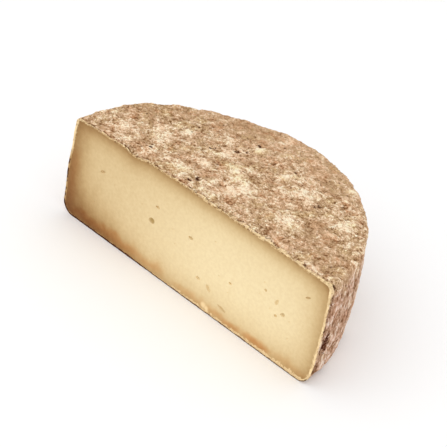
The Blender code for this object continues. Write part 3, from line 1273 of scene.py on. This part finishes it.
def rind_material():
    """The crust: brown in its low places and pale with mould on the high ones."""
    colours = bpy.context.scene.tomme_colours
    material, n, shader, place = cheese_material("rind", RIND_ROUGHNESS, RIND_SHINE)
    height = crust_height(n, place, 3.0)
    side = n.number("side")
    lip, groove = edge_shares(n, place)
    stops = (
        (0.00, colours.rind_deep),
        (0.18, colours.rind_low),
        (0.48, colours.rind_middle),
        (0.74, colours.rind_pale),
        (0.92, colours.rind_high),
    )
    skin = n.ramp(rind_level(n, place, height, groove), stops)
    # The side's colours are tinted: partly their own tone, partly painted shade
    skin = n.tinted(side, crust_tones(n, place, skin), colours.side_tone_and_shade)
    # The lip is painted with the cut rind's cream: partly rind that the knife laid bare, partly a
    # painted highlight where the raised lip catches the light
    kept = n.remap(n.split(place)[0], *RIGHT_STRETCH, 0.15, 0.45)
    crumbs = n.remap(granules(n, place, MOULD_GRANULE), -0.30, 0.00, kept, 1.0)
    on_lip = n.times(lip, n.between(side, 0.90, 0.25), crumbs)
    skin = n.mix(on_lip, skin, colours.rind_cut)
    fray = granules(n, place, CRUMB)
    # Painted shade in the pits and in the side's crevice, redder on the side
    pit = n.times_plus(fray, n.between(side, 0.9, 0.8), pit_distance(n, place))
    pit_shade = n.tinted(side, colours.dark_rind_and_shade, (1.0, 0.72, 0.50))
    skin = n.mix(n.remap(pit, 1.25, 0.80), skin, pit_shade)
    skin = n.mix(speck_share(n, place), skin, colours.dark_rind_and_shade)
    skin = n.mix(n.number("cut"), skin, cut_rind_colour(n, place))
    paint(n, shader, skin, height, 0.0035, 0.8)
    return material


def cut_rind_colour(n, place):
    """The rind where it is cut: cream, brown inside on the top, dark outside at the left, and dark
    outside at the base as dark crust and painted shadow.
    """
    colours = bpy.context.scene.tomme_colours
    x, _, z = n.split(place)
    fray = n.times_plus(n.cloud(place, 0.0024, 2.0, 0.7), 0.0014, -0.0007)
    edge = n.plus(n.number("edge"), fray)
    at_right = n.remap(x, *AT_RIGHT)
    at_left = n.remap(x, *AT_LEFT)
    at_base = n.remap(z, *AT_BASE)
    on_top = n.remap(z, *ON_TOP)
    high = n.remap(z, *HIGH_ON_CUT)
    pale = n.largest(at_right, n.times(at_base, n.remap(x, -0.050, 0.020)), n.times(at_left, high))
    thin = n.between(n.largest(at_left, at_base), 0.5, 1.0)
    thin = n.times(n.remap(edge, 0.0006, 0.0002), thin)
    cut = n.mix(n.largest(pale, thin), colours.rind_cut_brown, colours.rind_cut)
    drift = n.remap(n.cloud(place, 0.0050, 2.0, 0.6), 0.60, 0.40, 0.0, 0.35)
    inside = n.remap(edge, 0.0010, 0.0014, 0.0, 0.8)
    cut = n.mix(n.largest(drift, inside), cut, colours.rind_cut_brown)
    crumb = granules(n, place, CRUMB)
    dark_crumb = n.times(n.remap(crumb, 0.10, 0.32, 0.0, 0.6), on_top)
    dark_crumb = n.times(dark_crumb, n.remap(x, 0.040, 0.080, 1.0, 0.5))
    cut = n.mix(dark_crumb, cut, colours.rind_deep)
    pale_crumb = n.times(n.remap(crumb, -0.10, -0.32, 0.0, 0.6), on_top)
    cut = n.mix(pale_crumb, cut, colours.rind_cut)
    broken = n.remap(n.cloud(place, 0.0042, 2.0, 0.7), 0.40, 0.52)
    left_dark = n.times(at_left, n.minus(1.0, high), broken)
    # Along the base the cut rind's outside is painted dark: partly dark crust, partly painted shadow
    # where the wheel meets the floor
    base_dark_and_shadow = n.times(at_base, n.remap(x, *ALONG_CUT, 1.0, 0.85))
    past = n.minus(edge, n.remap(x, -0.020, -0.040, 0.0008, 0.0012))
    outside = n.times(n.remap(past, SOFT_EDGE, -SOFT_EDGE), n.largest(left_dark, base_dark_and_shadow))
    return n.mix(outside, cut, colours.dark_rind_and_shade)


def absorbed(n, base, tint, amount):
    """A colour multiplied by a tint to the power of an amount."""
    return n.tinted(1.0, base, n.joined(*(n.math("POWER", share, amount) for share in tint)))


def paste_material():
    """The cut paste: pale in the middle, darker to the left and brown beside the rind."""
    colours = bpy.context.scene.tomme_colours
    material, n, shader, place = cheese_material("paste", PASTE_ROUGHNESS, PASTE_SHINE)
    uneven_by = n.times_plus(n.cloud(place, 0.0050, 4.0, 0.6), 0.5, 0.75)
    mottle = n.remap(n.cloud(place, 0.0022, 3.0, 0.6), 0.30, 0.70, -0.028, 0.028)
    ripe = n.times_plus(n.number("ripe"), uneven_by, mottle)
    paste = absorbed(n, colours.paste, colours.ripe_tint, ripe)
    paste = absorbed(n, paste, colours.orange_tint, n.times(n.number("orange"), uneven_by))
    # Painted shade in the eyes' hollows
    paste = n.mix(n.times(n.number("eye"), 0.8), paste, colours.eye)
    fray = n.times_plus(n.cloud(place, 0.0022, 3.0, 0.8), 0.0044, -0.0022)
    rim = n.times(n.remap(n.plus(n.number("rim"), fray), 0.0017, 0.0012), 0.7)
    fold = n.largest(n.times(n.number("fold"), 0.85), rim)
    paste = n.mix(fold, paste, colours.rind_cut)
    paint(n, shader, paste, n.cloud(place, 0.0012, 2.0, 0.6), 0.00008, 0.5)
    return material


def scattered_flakes(n, given):
    """Nodes that scatter flat flakes of mould over the crust, most of them where it is pale."""
    place = n.place()
    x, y, z = n.split(place)
    level = n.times_plus(n.number("bloom"), 0.16, crust_height(n, place, 2.0))
    chance = n.remap(level, 0.46, 0.66, 0.05, 1.0)
    above_base = n.remap(z, *OFF_BASE)
    no_pit = n.remap(n.number("pit"), 0.5, 0.2)
    behind_cut = n.remap(y, *OFF_CUT)
    chance = n.times(chance, behind_cut, n.remap(y, *FAR_BACK[::-1]), above_base, no_pit)
    at_cut = n.times(n.remap(y, *AT_CUT), above_base)
    ragged = n.remap(n.cloud(place, 0.0060, 2.0, 0.7), 0.40, 0.56, 0.15, 1.0)
    on_lip = n.times(at_cut, n.times(ragged, no_pit))
    fill = {
        "Mesh": given["Geometry"],
        "Selection": n.math("LESS_THAN", n.number("cut"), 0.5),
        "Density": n.times(n.largest(chance, on_lip), given["Most per Area"]),
        "Seed": given["Seed"],
    }
    spread = n.add("GeometryNodeDistributePointsOnFaces", fill)
    sunk = n.vector("SCALE", spread["Normal"], -FLAKE_SINK)
    points = n.moved(spread["Points"], "Offset", sunk)

    def chosen(seed, low=0.0, high=1.0):
        """A random number for each point."""
        return n.add("FunctionNodeRandomValue", {2: low, 3: high, 8: seed})[1]

    tone = n.times_plus(chance, 0.58, chosen(3, 0.0, 0.72))
    points = n.stored(n.stored(points, "tone", tone), "lip", at_cut)
    radius = n.between(n.math("POWER", chosen(5), 2.0), given["Smallest"], given["Largest"])
    width = n.times(radius, chosen(7, 0.55, 1.0))
    fill = {
        "Points": points,
        "Instance": n.add("GeometryNodeMeshIcoSphere", {"Radius": 1.0, "Subdivisions": 1})[0],
        "Rotation": spread["Rotation"],
        "Scale": n.joined(radius, width, n.times(radius, given["Thickness"])),
    }
    flakes = n.add("GeometryNodeInstanceOnPoints", fill)[0]
    spin = n.joined(0.0, 0.0, chosen(9, 0.0, math.tau))
    flakes = n.add("GeometryNodeRotateInstances", {"Instances": flakes, "Rotation": spin})[0]
    flakes = n.add("GeometryNodeRealizeInstances", {0: flakes})[0]
    bend = n.off_middle(n.noise(place, FLAKE_BEND_LENGTH)["Color"])
    bend = n.vector("SCALE", bend, n.times(given["Largest"], 0.7))
    bent_flakes = n.moved(flakes, "Offset", bend)
    low, high = (corner - wheel_axis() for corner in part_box(NODE))
    across = n.math("MINIMUM", n.largest(x, low.x), high.x)
    in_box = n.joined(across, n.largest(y, CUT_INSET), n.math("MINIMUM", z, high.z))
    return n.moved(bent_flakes, "Position", in_box)


def flake_material():
    """Mould: cream where it is thick, tan where it is thin."""
    colours = bpy.context.scene.tomme_colours
    material, n, shader, place = cheese_material("mould", RIND_ROUGHNESS, RIND_SHINE)
    tone = n.times_plus(granules(n, place, MOULD_GRANULE), 0.35, n.number("tone"))
    stops = (
        (0.00, colours.rind_low),
        (0.30, colours.rind_middle),
        (0.58, colours.rind_pale),
        (0.90, colours.rind_high),
    )
    skin = crust_tones(n, place, n.ramp(tone, stops))
    # Flakes on the side are tinted: partly their own tone, partly painted shade
    skin = n.tinted(n.number("side"), skin, colours.side_tone_and_shade)
    cut = n.mix(n.remap(tone, 0.10, 0.50), colours.rind_cut_brown, colours.rind_cut)
    paint(n, shader, n.mix(n.number("lip"), skin, cut))
    return material


def make_core(name, material):
    """The wheel inside the rind: at the rind's true thickness near the cut, and deeper behind it."""
    shape = bpy.context.scene.tomme_shape
    stretches = profile(shape.rind_top, shape.rind_side, shape.rind_base)
    core = turned_body(name, stretches, CORE_CELLS, CORE_ROWS, material)
    vertices = core.data.vertices
    normals = [vertex.normal.copy() for vertex in vertices]
    reach = HIDDEN_RIND_END - HIDDEN_RIND_START
    for vertex, normal in zip(vertices, normals):
        hidden = smooth_step((vertex.co.y - HIDDEN_RIND_START) / reach)
        wave = RIND_WAVE * noise.noise(vertex.co / RIND_WAVE_LENGTH)
        if vertex.co.z > BASE_EDGE_RADIUS / 2:
            vertex.co -= normal * (HIDDEN_RIND * hidden + wave)
    return core


class TOMME_OT_make_rind(bpy.types.Operator):
    """Make the rind: the crusted skin, hollow inside and open at the cut"""

    bl_idname = "tomme.make_rind"
    bl_label = "Make Rind"

    def execute(self, context):
        shape = context.scene.tomme_shape
        material = rind_material()
        rind = turned_body("rind", profile(), shape.skin_cells, shape.skin_rows, material)
        mark_rind(rind.data)
        values = {
            "Crust Depth": shape.crust_depth,
            "Pit Depth": shape.pit_depth,
            "Groove Depth": GROOVE_DEPTH,
            "Material": material,
        }
        run_shape_tree(rind, "crust", crusted, values)
        crust = points_of(rind.data)
        marks = [bpy.data.materials.new(name) for name in ("hollow_mark", "cut_mark")]
        core = make_core("core", marks[0])
        block = cut_block(marks[1])
        trim(rind, core, block)
        discard(core, block)
        mark_rind(rind.data)
        mark_cut_rind(rind.data, crust)
        mark_cut_faces(rind.data, marks)
        finish_piece(rind, material)
        for mark in marks:
            bpy.data.materials.remove(mark)
        return {"FINISHED"}


class TOMME_OT_make_paste(bpy.types.Operator):
    """Make the paste: the wheel inside the rind, with its cut face and its eyes"""

    bl_idname = "tomme.make_paste"
    bl_label = "Make Paste"

    def execute(self, context):
        material = paste_material()
        paste = make_core("paste", material)
        block = cut_block(material)
        eyes = eye_cutters(material)
        trim(paste, block, eyes)
        discard(block, eyes)
        mark_paste(paste.data)
        finish_piece(paste, material)
        return {"FINISHED"}


class TOMME_OT_scatter_mould(bpy.types.Operator):
    """Scatter flakes of mould over the crust"""

    bl_idname = "tomme.scatter_mould"
    bl_label = "Scatter Mould"

    def execute(self, context):
        shape = context.scene.tomme_shape
        rind = bpy.data.objects.get("rind")
        if rind is None:
            raise RuntimeError("The rind has to be made before the mould on it")
        material = flake_material()
        flakes = new_object("mould_flakes", rind.data.copy())
        flakes.data.transform(Matrix.Translation(-wheel_axis()))
        values = {
            "Most per Area": FLAKES_PER_AREA,
            "Smallest": shape.flake_smallest,
            "Largest": shape.flake_largest,
            "Thickness": FLAKE_THICKNESS,
            "Seed": FLAKE_SEED,
            "Material": material,
        }
        run_shape_tree(flakes, "mould_flakes", scattered_flakes, values)
        finish_piece(flakes, material)
        return {"FINISHED"}


class TOMME_OT_set_stage(bpy.types.Operator):
    """Set the stage: a pale floor, soft light and the photograph's camera"""

    bl_idname = "tomme.set_stage"
    bl_label = "Set Stage"

    def execute(self, context):
        scene = context.scene
        scene.view_settings.view_transform = "Standard"
        material, shader = new_material("floor", FLOOR_ROUGHNESS)
        shader.inputs["Base Color"].default_value = FLOOR_COLOUR
        body = bmesh.new()
        bmesh.ops.create_grid(body, x_segments=1, y_segments=1, size=FLOOR_REACH)
        object_from("floor", body, material)
        world = bpy.data.worlds.new("soft_light")
        world.use_nodes = True
        background = world.node_tree.nodes["Background"]
        background.inputs["Color"].default_value = (1.0, 1.0, 1.0, 1.0)
        background.inputs["Strength"].default_value = WORLD_STRENGTH
        scene.world = world
        add_light()
        add_camera()
        return {"FINISHED"}


def add_light():
    """A soft square light that shines at the cheese."""
    data = bpy.data.lights.new("key", "AREA")
    data.size = KEY_SIZE
    data.energy = KEY_POWER
    lamp = new_object("key", data)
    lamp.location = KEY_PLACE
    aim = KEY_AIM - lamp.location
    lamp.rotation_euler = aim.to_track_quat("-Z", "Y").to_euler()


def add_camera():
    """The photograph's camera."""
    turn, rise, roll = CAMERA_AZIMUTH, CAMERA_ELEVATION, CAMERA_ROLL
    flat = math.cos(rise)
    back = Vector((math.sin(turn) * flat, -math.cos(turn) * flat, math.sin(rise)))
    level = Vector((math.cos(turn), math.sin(turn), 0.0))
    upright = back.cross(level)
    right = level * math.cos(roll) + upright * math.sin(roll)
    up = upright * math.cos(roll) - level * math.sin(roll)
    middle = wheel_axis() + Vector((0.0, 0.0, WHEEL_HEIGHT / 2))
    data = bpy.data.cameras.new("camera")
    data.lens = CAMERA_LENS
    data.sensor_width = CAMERA_SENSOR
    data.clip_start = CAMERA_CLIP
    camera = new_object("camera", data)
    place = middle + back * CAMERA_DISTANCE + right * CAMERA_RIGHT + up * CAMERA_UP
    turned = Matrix((right, up, back)).transposed().to_4x4()
    camera.matrix_world = Matrix.Translation(place) @ turned
    bpy.context.scene.camera = camera


class TOMME_PT_panel(bpy.types.Panel):
    """The cheese's sizes, colours and steps"""

    bl_idname = "TOMME_PT_panel"
    bl_label = "Goat Tomme"
    bl_space_type = "VIEW_3D"
    bl_region_type = "UI"
    bl_category = "Goat Tomme"

    def draw(self, context):
        layout = self.layout
        for group in (context.scene.tomme_shape, context.scene.tomme_colours):
            box = layout.box()
            for name in group.bl_rna.properties.keys():
                if name not in ("rna_type", "name"):
                    box.prop(group, name)
        for step in STEPS:
            layout.operator(step.bl_idname)


STEPS = (
    TOMME_OT_make_rind,
    TOMME_OT_make_paste,
    TOMME_OT_scatter_mould,
    TOMME_OT_set_stage,
)
CLASSES = (TommeShape, TommeColours, *STEPS, TOMME_PT_panel)


def register():
    for cls in CLASSES:
        bpy.utils.register_class(cls)
    bpy.types.Scene.tomme_shape = PointerProperty(type=TommeShape)
    bpy.types.Scene.tomme_colours = PointerProperty(type=TommeColours)


def unregister():
    del bpy.types.Scene.tomme_colours
    del bpy.types.Scene.tomme_shape
    for cls in reversed(CLASSES):
        bpy.utils.unregister_class(cls)


def main():
    register()
    bpy.ops.tomme.make_rind()
    bpy.ops.tomme.make_paste()
    bpy.ops.tomme.scatter_mould()
    bpy.ops.tomme.set_stage()


if __name__ == "__main__":
    main()
